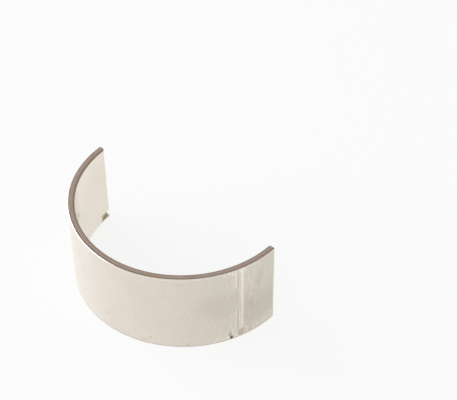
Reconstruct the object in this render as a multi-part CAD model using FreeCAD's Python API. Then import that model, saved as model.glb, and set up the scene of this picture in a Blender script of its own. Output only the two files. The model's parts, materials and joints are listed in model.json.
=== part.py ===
import FreeCAD, Part
import math
import os

# A plain half shell bearing for the big end of a connecting rod, modelled as it sits in its housing.
# The origin is on the bore axis, halfway along the width, on the plane where two half shells meet.
# +Z runs along the bore axis, and the crown of the half circle points towards -Y.
# The two joint faces lie on the plane y = 0, one at each end of the X axis.
# Lengths are millimetres and angles are degrees.

# Main sizes of the half ring.
housing_bore = 56.0
shell_width = 23.2
wall_thickness = 1.7

# Chamfers along the curved edges of the two side faces.
back_chamfer = 0.12
bore_chamfer = 0.25

# Chamfers along the straight edges of the two joint faces.
joint_back_chamfer = 0.15
joint_bore_chamfer = 0.4

# The bore opens out slightly next to each joint face, so that a shifted cap can't scrape the journal.
relief_depth = 0.03
relief_length = 6.0

# The locating lug is pressed out of the wall at the -X joint face, close to the low side face.
# Its width is measured along the bore axis and its length round the back.
lug_height = 1.1
lug_length = 4.2
lug_width = 2.0
lug_side_gap = 0.5
lug_nose_radius = 0.35

# A small round dent on the back, next to the low edge. Its angle is counted from the +X joint face.
dent_radius = 0.55
dent_standoff = 0.33
dent_angle = 26.1
dent_rise = 0.45

# How far a cutting or joining solid runs past the face that it crosses.
overrun = 1.0

back_radius = housing_bore / 2
bore_radius = back_radius - wall_thickness
top_z = shell_width / 2
low_z = -shell_width / 2

AXIS = FreeCAD.Vector(0, 0, 1)
ORIGIN = FreeCAD.Vector(0, 0, 0)


def prism(corners, low, height):
    """A straight prism along Z: a closed outline of x, y corners at the height low, drawn upwards."""
    outline = Part.makePolygon([FreeCAD.Vector(x, y, low) for x, y in corners + corners[:1]])
    return Part.Face(outline).extrude(FreeCAD.Vector(0, 0, height))


def mirrored(solid):
    """The same feature at the other joint face."""
    return solid.mirror(ORIGIN, FreeCAD.Vector(1, 0, 0))


def wall_section():
    """The cross-section of the wall in the XZ plane, with its four chamfered corners."""
    corners = [
        (bore_radius, low_z + bore_chamfer),
        (bore_radius + bore_chamfer, low_z),
        (back_radius - back_chamfer, low_z),
        (back_radius, low_z + back_chamfer),
        (back_radius, top_z - back_chamfer),
        (back_radius - back_chamfer, top_z),
        (bore_radius + bore_chamfer, top_z),
        (bore_radius, top_z - bore_chamfer),
    ]
    points = [FreeCAD.Vector(x, 0, z) for x, z in corners + corners[:1]]
    return Part.Face(Part.makePolygon(points))


def half_ring():
    """The section revolved half a turn, from the +X joint face through the crown to the -X one."""
    return wall_section().revolve(ORIGIN, FreeCAD.Vector(0, 0, -1), 180)


def bore_relief():
    """The relief cutters: two round bars, each touching the bore circle relief_length from the joint."""
    sagitta = bore_radius - math.sqrt(bore_radius**2 - relief_length**2)
    offset = bore_radius * relief_depth / (relief_depth + sagitta)
    bar_radius = bore_radius + relief_depth - offset
    foot = FreeCAD.Vector(offset, 0, low_z - overrun)
    bar = Part.makeCylinder(bar_radius, shell_width + 2 * overrun, foot, AXIS)
    return [bar, mirrored(bar)]


def joint_chamfers():
    """The cutters for both straight edges of both joint faces."""
    bore_edge = bore_radius + relief_depth
    bore_corner = [
        (bore_edge - overrun, overrun),
        (bore_edge + joint_bore_chamfer + overrun, overrun),
        (bore_edge - overrun, -joint_bore_chamfer - overrun),
    ]
    back_corner = [
        (back_radius + overrun, overrun),
        (back_radius + overrun, -joint_back_chamfer - overrun),
        (back_radius - joint_back_chamfer - overrun, overrun),
    ]
    cutters = []
    for corner in (bore_corner, back_corner):
        cutter = prism(corner, low_z - overrun, shell_width + 2 * overrun)
        cutters += [cutter, mirrored(cutter)]
    return cutters


def lug_slope():
    """The lug's sloping outer face: its foot on the back, its tip on the joint plane and its outward normal."""
    turn = lug_length / back_radius
    foot = FreeCAD.Vector(-back_radius * math.cos(turn), -back_radius * math.sin(turn), 0)
    tip = FreeCAD.Vector(-back_radius - lug_height, 0, 0)
    along = (tip - foot).normalize()
    outward = FreeCAD.Vector(-along.y, along.x, 0)
    return foot, tip, along, outward


def locating_lug():
    """The wedge that stands out of the back, with a rounded nose and its root sunk into the wall."""
    foot, tip, along, outward = lug_slope()
    root = wall_thickness / 2
    foot_in_wall = foot - outward * root
    tip_in_wall = FreeCAD.Vector(-back_radius + root, 0, 0)
    corners = [(p.x, p.y) for p in (tip, foot, foot_in_wall, tip_in_wall)]
    wedge = prism(corners, low_z + lug_side_gap, lug_width)
    nose = [e for e in wedge.Edges if all(abs(v.X - tip.x) + abs(v.Y) < 1e-6 for v in e.Vertexes)]
    return wedge.makeFillet(lug_nose_radius, nose)


def lug_recess():
    """The hollow that the press leaves in the bore behind the lug, one wall thickness under its slope."""
    foot, tip, along, outward = lug_slope()
    floor_tip = tip - outward * wall_thickness + along * overrun
    floor_foot = foot - outward * wall_thickness - along * overrun
    depth = outward * (lug_height + wall_thickness)
    points = (floor_tip, floor_foot, floor_foot - depth, floor_tip - depth)
    return prism([(p.x, p.y) for p in points], low_z + lug_side_gap, lug_width)


def edge_dent():
    """The ball that leaves the dent: its centre stands off the back, a little above the low side face."""
    angle = math.radians(-dent_angle)
    reach = back_radius + dent_standoff
    centre = FreeCAD.Vector(reach * math.cos(angle), reach * math.sin(angle), low_z + dent_rise)
    return Part.makeSphere(dent_radius, centre)


def bearing_shell():
    """The finished half shell, one solid."""
    shell = half_ring().cut(bore_relief()).cut(joint_chamfers())
    shell = shell.fuse(locating_lug()).cut([lug_recess(), edge_dent()])
    return shell.removeSplitter().Solids[0]


os.makedirs("parts", exist_ok=True)
bearing_shell().exportStep("parts/bearing_shell.step")
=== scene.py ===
import bpy
import json
import math
from mathutils import Matrix, Vector


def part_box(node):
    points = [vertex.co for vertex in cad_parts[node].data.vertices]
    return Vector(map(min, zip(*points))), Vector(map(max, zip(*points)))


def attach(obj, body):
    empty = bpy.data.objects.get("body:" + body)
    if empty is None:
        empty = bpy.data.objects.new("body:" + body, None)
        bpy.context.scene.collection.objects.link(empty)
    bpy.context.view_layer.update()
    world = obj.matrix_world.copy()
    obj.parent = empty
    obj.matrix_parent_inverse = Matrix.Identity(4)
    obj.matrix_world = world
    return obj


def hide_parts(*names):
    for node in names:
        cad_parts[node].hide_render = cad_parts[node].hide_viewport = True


# The looks of one half shell bearing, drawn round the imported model.
# The shell's mesh is worked out in millimetres and degrees and scaled to metres at the end.
# Angles round the shell start at the +X joint face, pass the crown at 90 and end at the -X joint face.
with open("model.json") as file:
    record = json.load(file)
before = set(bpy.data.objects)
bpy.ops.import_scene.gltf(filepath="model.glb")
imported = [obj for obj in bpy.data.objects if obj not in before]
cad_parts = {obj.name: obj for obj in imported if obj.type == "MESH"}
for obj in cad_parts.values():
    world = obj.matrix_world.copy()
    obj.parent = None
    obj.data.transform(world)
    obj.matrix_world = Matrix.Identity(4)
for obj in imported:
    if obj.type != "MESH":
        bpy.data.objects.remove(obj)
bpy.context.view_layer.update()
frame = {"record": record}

MM = 0.001

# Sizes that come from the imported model.
mounts = {mount["name"]: mount for mount in frame["record"]["mounts"]}
back_radius = mounts["housing_back"]["dims"]["r_mm"]
bore_radius = mounts["journal_bore"]["dims"]["r_mm"]
node_low, node_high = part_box("bearing_shell")
half_width = node_high.z / MM
wall_thickness = back_radius - bore_radius

# Chamfers and relief, as on the model.
back_chamfer = 0.12
bore_chamfer = 0.25
joint_back_chamfer = 0.15
joint_bore_chamfer = 0.4
relief_depth = 0.03
relief_length = 6.0

# The pressed locating lug at the -X joint face, as on the model.
lug_height = 1.1
lug_length = 4.2
lug_width = 2.0
lug_side_gap = 0.5
nose_chamfer = 0.4
lug_wall_slant = 0.12

# The small dent on the back, next to the low edge, as on the model.
dent_radius = 0.55
dent_standoff = 0.33
dent_angle = 26.1
dent_rise = 0.45

# The line that the press leaves across the back, and the faint one beside it.
press_line_angle = 20.1
press_line_width = 0.42
press_line_rise = 0.012
second_line_angle = 23.5
second_line_width = 0.3

# Heights above the low side face between which each line runs, and how a line grows and ends.
press_line_ends = (2.4, 2 * half_width)
second_line_ends = ((2.8, 9.6), (16.8, 22.4))
line_end_fade = 0.8
low_part_share = 0.4
low_part_end = 7.0
low_part_fade = 4.0
second_line_share = 0.5

# How softly the edges are broken, the lug's nose more than the rest, and the most of a stretch that
# a rounding takes. Then the blends where the lug's slope and the recess's floor meet the wall.
edge_rounding = 0.06
nose_rounding = 0.3
rounding_steps = 4
most_of_stretch = 0.45
slope_blend = 0.05
recess_blend = 0.03

# Rows of the mesh: heights from the lug's low side, shares of its wall and of its width, and how
# many there are above it.
low_row_steps = (-0.19, -0.12, 0.13, 0.22, 0.3, 0.48, 0.56)
lug_wall_steps = (-0.5, -0.4, -0.25, -0.08, 0.08, 0.25, 0.4, 0.5)
lug_width_shares = (0.1, 0.3, 0.5, 0.7, 0.9)
lug_clearance = 0.4
plain_row_count = 16

# Columns of the mesh: the first angle, the angles between them, how near a line or the dent the
# finest holds, and the angles from which the lug's columns and the lug itself begin.
end_turn = 1.2
fine_step = 0.1
lug_step = 0.3
plain_step = 0.5
line_window = 0.7
dent_window = 1.3
lug_columns_from = 169
lug_side_from = 150

# The narrowest that a joint face and its chamfer get, at the shell's corners.
least_width = 0.02


def smooth(t):
    """An S-shaped step from 0 to 1."""
    t = min(max(t, 0.0), 1.0)
    return t * t * (3 - 2 * t)


def soft_max(a, b, blend):
    """The larger of two lengths, with the corner between them rounded over the length blend."""
    h = min(max(0.5 + 0.5 * (a - b) / blend, 0.0), 1.0)
    return b * (1 - h) + a * h + blend * h * (1 - h)


def rounded(before, corner, after, radius):
    """The points of an arc that takes the place of a corner between two straight stretches."""
    into = Vector(before) - Vector(corner)
    out = Vector(after) - Vector(corner)
    half = into.angle(out) / 2
    longest = most_of_stretch * min(into.length, out.length)
    tangent = min(radius / math.tan(half), longest)
    start = Vector(corner) + into.normalized() * tangent
    end = Vector(corner) + out.normalized() * tangent
    points = []
    for i in range(rounding_steps):
        t = i / (rounding_steps - 1)
        points.append(start * (1 - t) ** 2 + Vector(corner) * (2 * t * (1 - t)) + end * t**2)
    return points


# The wall's cross-section, as rows from the low side face to the top one.

def edge_rows(side_radius, main_radius, chamfer, side):
    """Radius and height of the rows round one chamfered edge, from its side face to the curved face."""
    face = (side_radius, side * half_width)
    shoulder = (main_radius, side * (half_width - chamfer))
    inside = (2 * side_radius - main_radius, side * half_width)
    beyond = (main_radius, side * (half_width - 2 * chamfer))
    first = rounded(inside, face, shoulder, edge_rounding)
    second = rounded(face, shoulder, beyond, edge_rounding)
    middle = [(first[-1] + second[0]) / 2]
    return first + middle + second


def plain_heights():
    """Heights of the rows between the two edges, close together at the dent and the lug's sides."""
    lug_low = -half_width + lug_side_gap
    lug_high = lug_low + lug_width
    heights = [lug_low + step for step in low_row_steps]
    for edge in (lug_low, lug_high):
        heights += [edge + lug_wall_slant * step for step in lug_wall_steps]
    heights += [lug_low + lug_width * share for share in lug_width_shares]
    clear = lug_high + lug_clearance
    top = half_width - 2 * bore_chamfer
    gap = (top - clear) / (plain_row_count - 1)
    heights += [clear + gap * i for i in range(plain_row_count)]
    return sorted(heights)


def section_rows():
    """Each row as (back radius, back height, bore radius, bore height)."""
    back_low = edge_rows(back_radius - back_chamfer, back_radius, back_chamfer, -1)
    bore_low = edge_rows(bore_radius + bore_chamfer, bore_radius, bore_chamfer, -1)
    back_top = edge_rows(back_radius - back_chamfer, back_radius, back_chamfer, 1)[::-1]
    bore_top = edge_rows(bore_radius + bore_chamfer, bore_radius, bore_chamfer, 1)[::-1]
    rows = [(b.x, b.y, i.x, i.y) for b, i in zip(back_low, bore_low)]
    rows += [(back_radius, z, bore_radius, z) for z in plain_heights()]
    rows += [(b.x, b.y, i.x, i.y) for b, i in zip(back_top, bore_top)]
    return rows


# What departs from the plain half ring at an angle and a height.

slope_turn = lug_length / back_radius
slope_foot = Vector((-back_radius * math.cos(slope_turn), -back_radius * math.sin(slope_turn)))
slope_tip = Vector((-back_radius - lug_height, 0))
slope_along = (slope_tip - slope_foot).normalized()
slope_outward = Vector((-slope_along.y, slope_along.x))
slope_reach = slope_tip.dot(slope_outward)


def slope_radius(angle, sunk):
    """Distance from the axis to the lug's slope, or to a plane sunk under it, at an angle."""
    ray = Vector((math.cos(math.radians(angle)), -math.sin(math.radians(angle))))
    across = ray.dot(slope_outward)
    return (slope_reach - sunk) / across if across > 0.5 else 0.0


def lug_share(height):
    """1 within the lug's width, 0 beside it, and a steep step at its two sides."""
    low = -half_width + lug_side_gap
    inside = min(height - low, low + lug_width - height)
    return smooth(0.5 + inside / lug_wall_slant)


def relief_radius(angle):
    """The bore's radius next to the joint faces, where it opens out a little."""
    sagitta = bore_radius - math.sqrt(bore_radius**2 - relief_length**2)
    offset = bore_radius * relief_depth / (relief_depth + sagitta)
    bar = bore_radius + relief_depth - offset
    a = math.radians(min(angle, 180 - angle))
    return offset * math.cos(a) + math.sqrt(bar**2 - (offset * math.sin(a)) ** 2)


def line_rise(angle, low, line, width, ends):
    """The share of a press line's full rise. low and ends are heights above the low side face."""
    across = abs(math.radians(angle - line)) * back_radius / (width / 2)
    along = smooth((low - ends[0]) / line_end_fade) * smooth((ends[1] - low) / line_end_fade)
    return smooth(1 - across) * along


def press_rise(angle, height):
    """How far the press lines stand out of the back."""
    low = height + half_width
    first = line_rise(angle, low, press_line_angle, press_line_width, press_line_ends)
    first *= low_part_share + (1 - low_part_share) * smooth((low - low_part_end) / low_part_fade)
    second = 0.0
    for ends in second_line_ends:
        second += line_rise(angle, low, second_line_angle, second_line_width, ends)
    return press_line_rise * (first + second_line_share * second)


def back_at(angle, row_radius, height):
    """Radius of the back."""
    share = lug_share(height)
    radius = row_radius + press_rise(angle, height)
    if share and angle > lug_side_from:
        raised = soft_max(slope_radius(angle, 0), back_radius, slope_blend)
        radius += share * (raised - back_radius)
    return radius


def bore_at(angle, row_radius, height):
    """Radius of the bore."""
    opened = max(relief_radius(angle) - bore_radius, 0.0)
    radius = row_radius + opened
    share = lug_share(height)
    if share and angle > lug_side_from:
        floor = soft_max(slope_radius(angle, wall_thickness), bore_radius + opened, recess_blend)
        radius += share * (floor - bore_radius - opened)
    return radius


def dented(point):
    """The point, pushed back onto the dent's round floor where it lies inside it."""
    a = math.radians(-dent_angle)
    reach = back_radius + dent_standoff
    centre = Vector((reach * math.cos(a), reach * math.sin(a), dent_rise - half_width))
    away = point - centre
    if away.length >= dent_radius:
        return point
    inward = Vector((-math.cos(a), -math.sin(a), 0))
    along = away.dot(inward)
    across = away - inward * along
    depth = math.sqrt(max(dent_radius**2 - across.length**2, 0.0))
    return centre + across + inward * max(depth, along)


# The closed loop of points that each row draws round the shell.

def on_circle(angle, radius):
    """The point at an angle round the shell and a distance from its axis."""
    a = math.radians(angle)
    return Vector((radius * math.cos(a), -radius * math.sin(a)))


def arc_angles():
    """Angles of the columns between the two joint ends, closer together at small features."""
    angles = []
    angle = end_turn
    while angle < 180 - end_turn:
        angles.append(angle)
        to_line = min(abs(angle - press_line_angle), abs(angle - second_line_angle))
        if to_line < line_window or abs(angle - dent_angle) < dent_window:
            angle += fine_step
        elif angle > lug_columns_from:
            angle += lug_step
        else:
            angle += plain_step
    angles.append(180 - end_turn)
    return angles


def joint_end(side, row):
    """The points round one joint face, from the back to the bore, with side 1 at +X and -1 at -X."""
    row_back, back_height, row_bore, bore_height = row
    joint = 0 if side > 0 else 180

    def at(turn, curve, radius, height):
        return on_circle(joint + side * turn, curve(joint + side * turn, radius, height))

    share = lug_share(back_height) if side < 0 else 0.0
    chamfer = joint_back_chamfer + share * (nose_chamfer - joint_back_chamfer)
    outer = at(0, back_at, row_back, back_height).x * side
    chamfer_end = min(outer - least_width, outer - chamfer + (back_radius - row_back))
    chamfer = max(outer - chamfer_end, least_width)
    inner = at(0, bore_at, row_bore, bore_height).x * side
    inner_end = max(inner + least_width, inner + joint_bore_chamfer - (row_bore - bore_radius))
    face_drop = end_drop(back_height)

    back_before = at(end_turn, back_at, row_back, back_height)
    back_start = at(math.degrees(chamfer / outer), back_at, row_back, back_height)
    face_start = Vector((side * chamfer_end, -face_drop))
    face_end = Vector((side * inner_end, -face_drop))
    bore_start = at(math.degrees((inner_end - inner) / inner), bore_at, row_bore, bore_height)
    bore_after = at(end_turn, bore_at, row_bore, bore_height)
    rounding = edge_rounding + share * (nose_rounding - edge_rounding)

    points = rounded(back_before, back_start, face_start, rounding)
    points += rounded(back_start, face_start, face_end, rounding)
    points += rounded(face_start, face_end, bore_start, edge_rounding)
    points += rounded(face_end, bore_start, bore_after, edge_rounding)
    return points


def end_drop(height):
    """How far a joint face falls away at its two ends, where it meets the side faces."""
    gap = half_width - abs(height)
    if gap >= edge_rounding:
        return 0.0
    return edge_rounding - math.sqrt(edge_rounding**2 - (edge_rounding - gap) ** 2)


def loop_points(row, angles):
    """One row's loop: back from +X to -X, the -X joint end, bore back to +X, the +X joint end.

    The counts of points on the back and on a joint end come with it.
    """
    row_back, back_height, row_bore, bore_height = row
    back = [on_circle(a, back_at(a, row_back, back_height)) for a in angles]
    bore = [on_circle(a, bore_at(a, row_bore, bore_height)) for a in reversed(angles)]
    left = joint_end(-1, row)
    right = joint_end(1, row)[::-1]

    def raised(points, start, end):
        last = len(points) - 1
        return [Vector((p.x, p.y, start + (end - start) * i / last)) for i, p in enumerate(points)]

    points = raised(back, back_height, back_height)
    points += raised(left, back_height, bore_height)
    points += raised(bore, bore_height, bore_height)
    points += raised(right, bore_height, back_height)
    return [dented(p) for p in points], len(back), len(left)


# Material numbers, and the angle between faces from which an edge is shaded sharp.
BACK, BORE, RIM, EDGE, JOINT = range(5)
sharp_angle = 50


def shell_mesh():
    """The whole shell as one closed mesh, with a material number for each face."""
    rows = section_rows()
    angles = arc_angles()
    loops = [loop_points(row, angles) for row in rows]
    arc, end = loops[0][1:]
    around = len(loops[0][0])
    vertices = [p * MM for loop, _, _ in loops for p in loop]
    edge_count = 2 * rounding_steps + 1
    faces = []
    zones = []

    def zone(j, k):
        in_edge = j < edge_count - 1 or j >= len(rows) - edge_count
        if k < arc:
            return EDGE if in_edge else BACK
        if k < arc + end - 1 or k >= 2 * arc + end:
            spot = k - arc if k < arc + end else 2 * arc + 2 * end - 1 - k
            on_face = 2 * rounding_steps - 1 == spot
            return JOINT if on_face else EDGE
        return RIM if in_edge else BORE

    for j in range(len(rows) - 1):
        for k in range(around):
            after = (k + 1) % around
            low, high = j * around, (j + 1) * around
            faces.append((low + k, high + k, high + after, low + after))
            zones.append(zone(j, k))

    for j, flip in ((0, False), (len(rows) - 1, True)):
        base = j * around
        side = []
        for k in range(arc - 1):
            across = 2 * arc + end - 1 - k
            side.append((base + k, base + k + 1, base + across - 1, base + across))
        side.append(tuple(base + k for k in range(arc - 1, arc + end + 1)))
        side.append(tuple(base + k % around for k in range(2 * arc + end - 1, 2 * arc + 2 * end + 1)))
        for face in side:
            faces.append(face[::-1] if flip else face)
            zones.append(RIM)
    return vertices, faces, zones


def shell_object():
    """The shell as a smooth-shaded object, with its sharp edges kept."""
    vertices, faces, zones = shell_mesh()
    mesh = bpy.data.meshes.new("bearing_shell_finish")
    mesh.from_pydata(vertices, [], faces)
    mesh.polygons.foreach_set("material_index", zones)
    mesh.polygons.foreach_set("use_smooth", [True] * len(faces))
    mesh.set_sharp_from_angle(angle=math.radians(sharp_angle))
    mesh.validate()
    shell = bpy.data.objects.new("bearing_shell_finish", mesh)
    bpy.context.collection.objects.link(shell)
    weighted = shell.modifiers.new("weighted_normals", "WEIGHTED_NORMAL")
    weighted.keep_sharp = True
    weighted.weight = 100
    return shell


# Materials. A noise mostly stays between these two values.

noise_low = 0.3
noise_high = 0.7


class Nodes:
    """A material's node tree, with short calls for the nodes used here."""

    def __init__(self, name):
        self.material = bpy.data.materials.new(name)
        self.material.use_nodes = True
        self.tree = self.material.node_tree
        self.shader = self.tree.nodes["Principled BSDF"]
        self.places()

    def add(self, kind, **settings):
        node = self.tree.nodes.new(kind)
        for name, value in settings.items():
            setattr(node, name, value)
        return node

    def plug(self, socket, value):
        if isinstance(value, bpy.types.NodeSocket):
            self.tree.links.new(value, socket)
        else:
            socket.default_value = value

    def math(self, operation, *values):
        node = self.add("ShaderNodeMath", operation=operation)
        for socket, value in zip(node.inputs, values):
            self.plug(socket, value)
        return node.outputs[0]

    def times(self, product, *others):
        """The product of several values."""
        for other in others:
            product = self.math("MULTIPLY", product, other)
        return product

    def length(self, *parts):
        """The length of two parts that stand at a right angle."""
        squares = [self.math("POWER", part, 2.0) for part in parts]
        return self.math("SQRT", self.math("ADD", *squares))

    def places(self):
        """Where a point is, in millimetres: round the shell, across its width and from its axis."""
        point = self.add("ShaderNodeTexCoord").outputs["Object"]
        apart = self.add("ShaderNodeSeparateXYZ")
        self.plug(apart.inputs[0], point)
        x, y, z = (self.math("DIVIDE", socket, MM) for socket in apart.outputs)
        turn = self.math("ARCTAN2", self.math("MULTIPLY", y, -1.0), x)
        self.angle = self.math("MULTIPLY", turn, 180 / math.pi)
        self.round = self.math("MULTIPLY", self.angle, math.pi / 180 * back_radius)
        self.height = z
        self.radius = self.length(x, y)

    def spot(self, *parts):
        """A vector of three parts."""
        node = self.add("ShaderNodeCombineXYZ")
        for socket, value in zip(node.inputs, parts):
            self.plug(socket, value)
        return node.outputs[0]

    def noise(self, round_scale, height_scale, radius_scale=1.0, detail=3.0, roughness=0.55, shift=0.0):
        """Noise from 0 to 1, with its own scale (features a millimetre) in each direction."""
        vector = self.spot(
            self.math("MULTIPLY_ADD", self.round, round_scale, shift),
            self.math("MULTIPLY", self.height, height_scale),
            self.math("MULTIPLY", self.radius, radius_scale),
        )
        node = self.add("ShaderNodeTexNoise")
        self.plug(node.inputs["Vector"], vector)
        self.plug(node.inputs["Scale"], 1.0)
        self.plug(node.inputs["Detail"], detail)
        self.plug(node.inputs["Roughness"], roughness)
        return node.outputs[0]

    def ramp(self, value, low, high, to_low=0.0, to_high=1.0):
        """A smooth step from to_low to to_high as the value goes from low to high."""
        node = self.add("ShaderNodeMapRange", interpolation_type="SMOOTHSTEP")
        for socket, item in zip(node.inputs, (value, low, high, to_low, to_high)):
            self.plug(socket, item)
        return node.outputs[0]

    def spread(self, noise, to_low=0.0, to_high=1.0):
        """The range that a noise mostly stays in, stretched from to_low to to_high."""
        return self.ramp(noise, noise_low, noise_high, to_low, to_high)

    def band(self, value, middle, width, softness):
        """1 within a band of the given width, falling to 0 beside it."""
        away = self.math("ABSOLUTE", self.math("SUBTRACT", value, middle))
        return self.ramp(away, width / 2, width / 2 + softness, 1.0, 0.0)

    def blot(self, angle, low, width, tall, strength):
        """A soft round mark on the back, its half sizes in millimetres, with a ragged outline."""
        ragged = self.noise(1.7, 1.7, detail=2.0, shift=angle)
        middle = math.radians(angle) * back_radius
        along = self.math("DIVIDE", self.math("SUBTRACT", self.round, middle), width)
        up = self.math("DIVIDE", self.math("SUBTRACT", self.height, low - half_width), tall)
        away = self.math("ADD", self.length(along, up), self.spread(ragged, -0.3, 0.3))
        return self.ramp(away, 1.25, 0.35, 0.0, strength)

    def mix(self, share, first, second):
        """The first colour, with a share of the second over it."""
        node = self.add("ShaderNodeMix", data_type="RGBA")
        self.plug(node.inputs[0], share)
        self.plug(node.inputs[6], first)
        self.plug(node.inputs[7], second)
        return node.outputs[2]

    def metal(self, color, roughness, relief, depth):
        """The finished material: bare metal, with a relief that is depth millimetres deep."""
        node = self.add("ShaderNodeBump")
        self.plug(node.inputs["Strength"], 1.0)
        self.plug(node.inputs["Distance"], depth * MM)
        self.plug(node.inputs["Height"], relief)
        self.plug(self.shader.inputs["Base Color"], color)
        self.plug(self.shader.inputs["Roughness"], roughness)
        self.plug(self.shader.inputs["Metallic"], 1.0)
        self.plug(self.shader.inputs["Normal"], node.outputs[0])
        return self.material


def srgb(*levels):
    """A linear colour from levels of 0 to 255."""
    parts = [v / 255 for v in levels]
    return tuple(p / 12.92 if p <= 0.04045 else ((p + 0.055) / 1.055) ** 2.4 for p in parts) + (1.0,)


# Small marks on the back, each with its angle, its height above the low side face, its half width
# and half height, its strength and its colour.
back_marks = (
    (10.3, 17.5, 1.3, 3.4, 0.25, (198, 186, 180)),
    (11.0, 9.0, 0.7, 1.9, 0.13, (186, 168, 157)),
    (16.0, 10.0, 1.2, 2.2, 0.10, (186, 178, 166)),
    (21.0, 1.6, 1.00, 1.3, 0.45, (188, 164, 148)),
    (26.9, 2.0, 0.50, 0.9, 0.35, (172, 160, 164)),
    (26.6, 1.5, 0.32, 0.6, 0.40, (120, 108, 106)),
    (33.0, 12.5, 6.0, 4.5, 0.25, (206, 197, 186)),
    # The darkest mark, over the dent, is painted shade for the dent's shadow.
    (26.1, 0.7, 0.46, 0.78, 0.95, (74, 63, 56)),
    (47.8, 1.0, 0.55, 0.5, 0.25, (164, 152, 134)),
    (50.9, 21.5, 1.30, 0.7, 0.12, (188, 176, 178)),
    (66.6, 2.4, 0.35, 0.5, 0.30, (176, 172, 142)),
    (69.6, 1.2, 1.00, 0.5, 0.20, (196, 178, 170)),
    (75.8, 15.2, 0.25, 0.4, 0.20, (180, 164, 148)),
    (82.6, 1.4, 0.45, 0.4, 0.20, (212, 184, 166)),
    (91.1, 4.9, 0.35, 0.5, 0.35, (174, 152, 134)),
)


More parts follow.
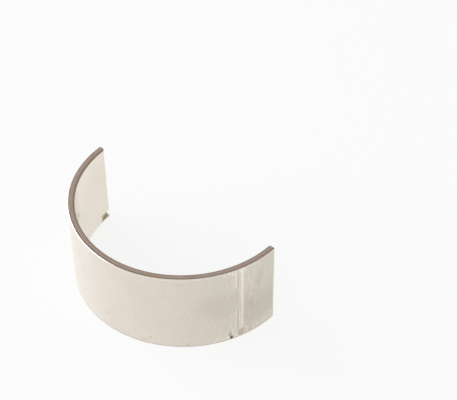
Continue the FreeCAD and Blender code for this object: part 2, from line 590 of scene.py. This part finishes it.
def back_material():
    """Satin tin flash: fine grain, faint patches, the press lines and a few handling marks."""
    m = Nodes("tinned_back")
    low = m.math("ADD", m.height, half_width)
    worn_end = m.ramp(m.angle, 58.0, 20.0)
    grain = m.noise(13.0, 0.07, detail=3.0, roughness=0.7)
    streak = m.noise(2.6, 0.2, detail=2.0, roughness=0.6, shift=7.0)
    cloud = m.noise(0.15, 0.13, detail=2.0, shift=3.0)
    tone = m.math("ADD", m.spread(grain, -0.05, 0.05), m.ramp(cloud, 0.32, 0.68, -0.05, 0.05))
    mottle = m.noise(1.7, 1.2, detail=4.0, roughness=0.65, shift=41.0)
    mottle_reach = m.math("MULTIPLY_ADD", worn_end, 0.07, 0.05)
    tone = m.math("ADD", tone, m.times(m.spread(mottle, -1.0, 1.0), mottle_reach))
    streak_reach = m.math("MULTIPLY_ADD", worn_end, 0.11, 0.015)
    tone = m.math("ADD", tone, m.times(m.spread(streak, -1.0, 1.0), streak_reach))
    color = m.mix(m.math("ADD", 0.5, tone), srgb(222, 215, 206), srgb(246, 239, 231))

    # Faint warm and cool patches.
    patch = m.noise(0.33, 0.24, detail=2.0, shift=17.0)
    color = m.mix(m.ramp(patch, 0.5, 0.75, 0.0, 0.22), color, srgb(236, 220, 212))
    color = m.mix(m.ramp(patch, 0.5, 0.25, 0.0, 0.22), color, srgb(222, 222, 208))

    # Towards the +X end the back is greyer. Low down between the press line and the joint it is darker
    # still: painted shade for the floor's shadow reflected in the back.
    color = m.mix(m.times(worn_end, 0.28), color, srgb(212, 211, 198))
    painted_shade_near_joint = m.times(m.ramp(m.angle, 23.0, 18.0), m.ramp(low, 19.0, 7.0))
    painted_shade_near_joint = m.times(painted_shade_near_joint, m.ramp(low, 1.6, 4.5))
    color = m.mix(m.times(painted_shade_near_joint, 0.3), color, srgb(194, 186, 176))

    # The strip is rubbed a little brighter high up on both sides of the press lines.
    high = m.times(m.band(m.angle, 18.0, 13.0, 4.0), m.ramp(low, 15.5, 18.5))
    color = m.mix(m.times(high, 0.15), color, srgb(250, 244, 236))

    # Short bright and dark scratches on both sides of the press lines.
    scratch = m.noise(5.0, 0.16, detail=1.0, roughness=0.8, shift=31.0)
    worn = m.noise(0.7, 0.45, detail=3.0, shift=13.0)
    scratched = m.times(m.band(m.angle, 19.0, 9.0, 9.0), m.ramp(worn, 0.4, 0.6))
    bright = m.times(scratched, m.ramp(scratch, 0.52, 0.68, 0.0, 0.6))
    color = m.mix(bright, color, srgb(248, 242, 232))
    dark = m.times(scratched, m.ramp(scratch, 0.48, 0.32, 0.0, 0.5))
    color = m.mix(dark, color, srgb(184, 175, 164))

    # The press line, sharp on its joint side and fading out on the other, and the thin line beside it.
    waver = m.math("MULTIPLY_ADD", m.noise(0.1, 0.7, detail=2.0), 0.4, -0.2)
    angle = m.math("ADD", m.angle, waver)
    sharp = m.ramp(angle, press_line_angle - 0.7, press_line_angle - 0.1)
    above_smudge = m.ramp(low, 2.0, 3.2)
    uneven = m.ramp(m.noise(0.1, 0.4, shift=2.0), 0.3, 0.62, 0.6, 1.0)
    ridge = m.times(sharp, m.ramp(angle, press_line_angle + 1.0, press_line_angle + 0.3))
    ridge = m.times(m.times(ridge, above_smudge), uneven)
    ridge = m.times(ridge, m.ramp(low, 7.0, 11.0, 0.45, 1.0))
    fade = m.times(sharp, m.ramp(angle, press_line_angle + 3.0, press_line_angle + 0.2, 0.0, 0.4))
    flat = m.times(sharp, m.ramp(angle, second_line_angle - 0.9, second_line_angle - 1.3))
    flat = m.times(flat, m.ramp(low, 10.5, 8.0, 0.0, 0.5))
    beside = m.times(m.math("MAXIMUM", fade, flat), above_smudge)
    color = m.mix(beside, color, srgb(244, 232, 220))
    color = m.mix(m.times(ridge, 0.7), color, srgb(252, 246, 234))
    upper = m.ramp(low, 16.8, 18.0)
    lower = m.times(m.ramp(low, 2.6, 3.6), m.ramp(low, 10.4, 9.2))
    line_share = m.math("MAXIMUM", m.times(upper, 0.7), m.times(lower, 0.35))
    second = m.times(m.band(angle, second_line_angle, 0.25, 0.45), line_share)
    color = m.mix(second, color, srgb(252, 246, 234))
    groove_share = m.math("MAXIMUM", m.times(upper, 0.2), m.times(lower, 0.3))
    groove = m.times(m.band(angle, second_line_angle - 0.75, 0.25, 0.4), groove_share)
    color = m.mix(groove, color, srgb(166, 152, 140))

    # Bright scuffs under the top edge and low down near the dent, and the listed marks.
    rub = m.noise(1.5, 1.5, detail=3.0, shift=23.0)
    high_rub = m.times(m.band(m.angle, 24.0, 8.0, 8.0), m.ramp(low, 20.8, 22.4))
    low_rub = m.times(m.band(m.angle, 29.0, 5.0, 8.0), m.ramp(low, 3.2, 1.2))
    rubbed = m.times(m.math("MAXIMUM", high_rub, low_rub), m.ramp(rub, 0.46, 0.62))
    color = m.mix(m.times(rubbed, 0.75), color, srgb(252, 248, 240))
    for mark in back_marks:
        color = m.mix(m.blot(*mark[:5]), color, srgb(*mark[5]))

    # A painted highlight runs along the top edge, a thin bright band for the light caught where the
    # back meets its chamfer. Painted shade runs along the low edge as a thin dark line, for the floor's
    # shadow reflected there.
    painted_top_highlight = m.band(low, 2 * half_width - 0.35, 0.1, 0.3)
    painted_top_highlight = m.times(painted_top_highlight, m.ramp(mottle, 0.3, 0.65, 0.15, 0.45))
    color = m.mix(painted_top_highlight, color, srgb(253, 249, 240))
    painted_low_edge_shade = m.times(m.ramp(low, 0.5, 0.15), m.spread(worn, 0.4, 0.8))
    color = m.mix(painted_low_edge_shade, color, srgb(170, 160, 138))
    polish = m.math("ADD", m.spread(grain, 0.0, 0.04), m.spread(mottle, 0.0, 0.02))
    roughness = m.math("SUBTRACT", 0.77, polish)
    roughness = m.math("SUBTRACT", roughness, m.times(ridge, 0.15))
    return m.metal(color, roughness, grain, 0.005)


def bore_material():
    """The smooth lining: more polished than the back, with faint turning marks round the bore."""
    m = Nodes("lined_bore")
    low = m.math("ADD", m.height, half_width)
    turning = m.noise(0.03, 6.0, detail=3.0)
    cloud = m.noise(0.06, 0.05, detail=2.0, shift=11.0)
    tone = m.math("ADD", m.spread(cloud, 0.1, 0.7), m.spread(turning, 0.0, 0.3))
    color = m.mix(tone, srgb(227, 217, 204), srgb(237, 229, 218))

    # The recess behind the lug is raw pressed steel with an oily film. Its colour is darkened partly
    # with painted shade in the hollow, and darkest along its two sides with painted shadow of its side
    # walls.
    far_side = lug_side_gap + lug_width
    above = m.ramp(low, lug_side_gap - 0.1, lug_side_gap + 0.1)
    below = m.ramp(low, far_side + 0.1, far_side - 0.1)
    sunk = m.ramp(m.radius, bore_radius + relief_depth + 0.02, bore_radius + 0.15)
    hollow = m.times(above, below, sunk, m.ramp(m.angle, 165.0, 168.0))
    film = m.noise(0.9, 1.4, detail=3.0, shift=5.0)
    oily_film_and_shade = m.mix(m.ramp(film, 0.35, 0.65), srgb(188, 180, 150), srgb(216, 208, 180))
    sides = m.band(low, lug_side_gap + lug_width / 2, lug_width - 0.7, 0.3)
    # Painted shadow of the recess's side walls, along its two sides.
    oily_film_and_shade = m.mix(sides, srgb(150, 138, 114), oily_film_and_shade)
    color = m.mix(hollow, color, oily_film_and_shade)
    roughness = m.math("ADD", m.spread(turning, 0.15, 0.22), m.times(hollow, 0.2))
    return m.metal(color, roughness, turning, 0.0006)


def rim_material():
    """The cut side faces: brown-grey steel, the lining's grey edge and a few faint golden stains.

    A strip of painted shade along the outer edge, for the dark that the thin outer chamfer reflects,
    fades out towards the -X end, where the edge has a painted highlight.
    """
    m = Nodes("cut_side_face")
    fine = m.noise(5.0, 5.0, 5.0, detail=3.0)
    mottle = m.noise(1.1, 1.0, 1.6, detail=3.0, roughness=0.7, shift=3.0)
    turning = m.noise(0.05, 1.0, 9.0, detail=3.0, shift=5.0)
    color = m.mix(m.spread(fine), srgb(184, 163, 151), srgb(202, 181, 169))
    color = m.mix(m.ramp(mottle, 0.5, 0.7, 0.0, 0.45), color, srgb(210, 187, 178))
    color = m.mix(m.ramp(mottle, 0.5, 0.3, 0.0, 0.45), color, srgb(165, 147, 129))
    blotch = m.noise(0.3, 1.0, 0.8, detail=3.0, shift=19.0)
    color = m.mix(m.ramp(blotch, 0.54, 0.7, 0.0, 0.5), color, srgb(186, 163, 124))
    color = m.mix(m.ramp(blotch, 0.42, 0.3, 0.0, 0.5), color, srgb(153, 135, 117))
    lining = m.ramp(m.radius, bore_radius + 0.5, bore_radius + 0.4)
    color = m.mix(m.times(lining, 0.7), color, srgb(144, 131, 115))
    # Painted shade: a dark strip along the outer edge, set by angle, fading out towards the -X end.
    outer = m.ramp(m.radius, back_radius - 0.56, back_radius - 0.26)
    outer = m.times(outer, m.ramp(m.angle, 60.0, 100.0, 0.75, 0.95))
    outer = m.times(outer, m.ramp(m.angle, 112.0, 130.0, 1.0, 0.1))
    color = m.mix(outer, color, srgb(125, 106, 93))
    roughness = m.spread(turning, 0.38, 0.5)
    return m.metal(color, roughness, turning, 0.004)


def edge_material():
    """The broken edges: bare metal, with a painted highlight that makes them brightest on the -X half.
    """
    m = Nodes("broken_edge")
    fine = m.noise(1.5, 2.2, 2.2, detail=4.0)
    color = m.mix(m.spread(fine), srgb(206, 199, 186), srgb(222, 215, 203))
    # Painted highlight: the edges turn near white towards the -X end, for the key light caught on the
    # chamfers.
    color = m.mix(m.ramp(m.angle, 70.0, 115.0, 0.0, 0.9), color, srgb(254, 251, 245))
    roughness = m.spread(fine, 0.24, 0.34)
    return m.metal(color, roughness, fine, 0.002)


def joint_material():
    """The joint faces: broached across, with fine straight marks."""
    m = Nodes("joint_face")
    marks = m.noise(1.0, 7.0, 0.3, detail=3.0)
    color = m.mix(m.spread(marks), srgb(182, 166, 154), srgb(206, 192, 180))
    roughness = m.spread(marks, 0.3, 0.42)
    return m.metal(color, roughness, marks, 0.003)


def white_floor_material():
    """White paper that stays white behind the object and keeps part of its shadow.

    Its glow isn't sampled as a lamp, which would leave a dark line above the floor's diagonal.
    """
    material = bpy.data.materials.new("white_paper")
    material.use_nodes = True
    material.cycles.emission_sampling = "NONE"
    tree = material.node_tree
    paper = tree.nodes["Principled BSDF"]
    paper.inputs["Base Color"].default_value = (0.95, 0.95, 0.95, 1.0)
    paper.inputs["Roughness"].default_value = 0.8
    paper.inputs["Specular IOR Level"].default_value = 0.1
    glow = tree.nodes.new("ShaderNodeEmission")
    glow.inputs["Color"].default_value = (1.0, 1.0, 1.0, 1.0)
    glow.inputs["Strength"].default_value = 1.0
    path = tree.nodes.new("ShaderNodeLightPath")
    seen = path.outputs["Is Camera Ray"]
    for ray in ("Is Glossy Ray", "Is Transmission Ray"):
        either = tree.nodes.new("ShaderNodeMath")
        either.operation = "MAXIMUM"
        tree.links.new(seen, either.inputs[0])
        tree.links.new(path.outputs[ray], either.inputs[1])
        seen = either.outputs[0]
    share = tree.nodes.new("ShaderNodeMath")
    share.operation = "MULTIPLY"
    share.inputs[1].default_value = floor_glow
    tree.links.new(seen, share.inputs[0])
    mix = tree.nodes.new("ShaderNodeMixShader")
    tree.links.new(share.outputs[0], mix.inputs[0])
    tree.links.new(paper.outputs[0], mix.inputs[1])
    tree.links.new(glow.outputs[0], mix.inputs[2])
    tree.links.new(mix.outputs[0], tree.nodes["Material Output"].inputs["Surface"])
    return material


# The scene: floor, light and camera.

# Camera, worked out from the photo. The view angles are degrees and the aim point is in millimetres.
picture_width = 457
focal_pixels = 1406.4
view_azimuth = 40.37
view_elevation = 43.4
view_roll = -0.55
aim_point = (1.4, 14.9, 0.0)
camera_distance = 354.0
sensor_width = 36.0

# Floor, in metres, with the share of plain white in it, then the light's levels and colours.
floor_size = 3.0
floor_glow = 0.8
world_level = 0.66
lamp_color = (0.87, 0.94, 1.0)
world_color = (1.0, 0.987, 0.97, 1.0)


def add_floor():
    """A square floor that the shell stands on."""
    half = floor_size / 2
    corners = [(-half, -half), (half, -half), (half, half), (-half, half)]
    corners = [(x, y, node_low.z) for x, y in corners]
    mesh = bpy.data.meshes.new("floor")
    mesh.from_pydata(corners, [], [(0, 1, 2, 3)])
    floor = bpy.data.objects.new("floor", mesh)
    bpy.context.collection.objects.link(floor)
    mesh.materials.append(white_floor_material())


def direction(azimuth, elevation):
    """The direction from the origin to a lamp or the camera. Azimuth 0 is in front, at -Y."""
    a, e = math.radians(azimuth), math.radians(elevation)
    return Vector((math.sin(a) * math.cos(e), -math.cos(a) * math.cos(e), math.sin(e)))


def facing(away):
    """The turn that makes a lamp or the camera look back along a direction."""
    return away.to_track_quat("Z", "Y").to_matrix().to_4x4()


def add_softbox(name, azimuth, elevation, distance, size, power):
    """A rectangular area light that faces the object, in metres and watts."""
    data = bpy.data.lights.new(name, "AREA")
    data.shape = "RECTANGLE"
    data.size, data.size_y = size
    data.energy = power
    data.color = lamp_color
    light = bpy.data.objects.new(name, data)
    bpy.context.collection.objects.link(light)
    away = direction(azimuth, elevation)
    light.matrix_world = Matrix.Translation(away * distance) @ facing(away)


def add_world():
    """The plain light of the room."""
    world = bpy.data.worlds.new("studio")
    bpy.context.scene.world = world
    world.use_nodes = True
    background = world.node_tree.nodes["Background"]
    background.inputs["Color"].default_value = world_color
    background.inputs["Strength"].default_value = world_level


def add_camera():
    """The camera at the photo's angle."""
    data = bpy.data.cameras.new("camera")
    data.sensor_width = sensor_width
    data.lens = focal_pixels / picture_width * sensor_width
    data.clip_start = 0.01
    data.clip_end = 20.0
    camera = bpy.data.objects.new("camera", data)
    bpy.context.collection.objects.link(camera)
    away = direction(view_azimuth, view_elevation)
    place = Vector(aim_point) * MM + away * camera_distance * MM
    roll = Matrix.Rotation(math.radians(view_roll), 4, "Z")
    camera.matrix_world = Matrix.Translation(place) @ facing(away) @ roll
    bpy.context.scene.camera = camera


shell = shell_object()
for material in (back_material(), bore_material(), rim_material(), edge_material(), joint_material()):
    shell.data.materials.append(material)
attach(shell, "root")
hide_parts("bearing_shell")

add_floor()
add_world()
add_softbox("key_light", azimuth=-66, elevation=17, distance=0.9, size=(1.2, 0.5), power=5.5)
add_softbox("front_light", azimuth=view_azimuth, elevation=52, distance=1.0, size=(1.0, 0.6), power=1.2)
add_camera()
bpy.context.scene.view_settings.view_transform = "Standard"
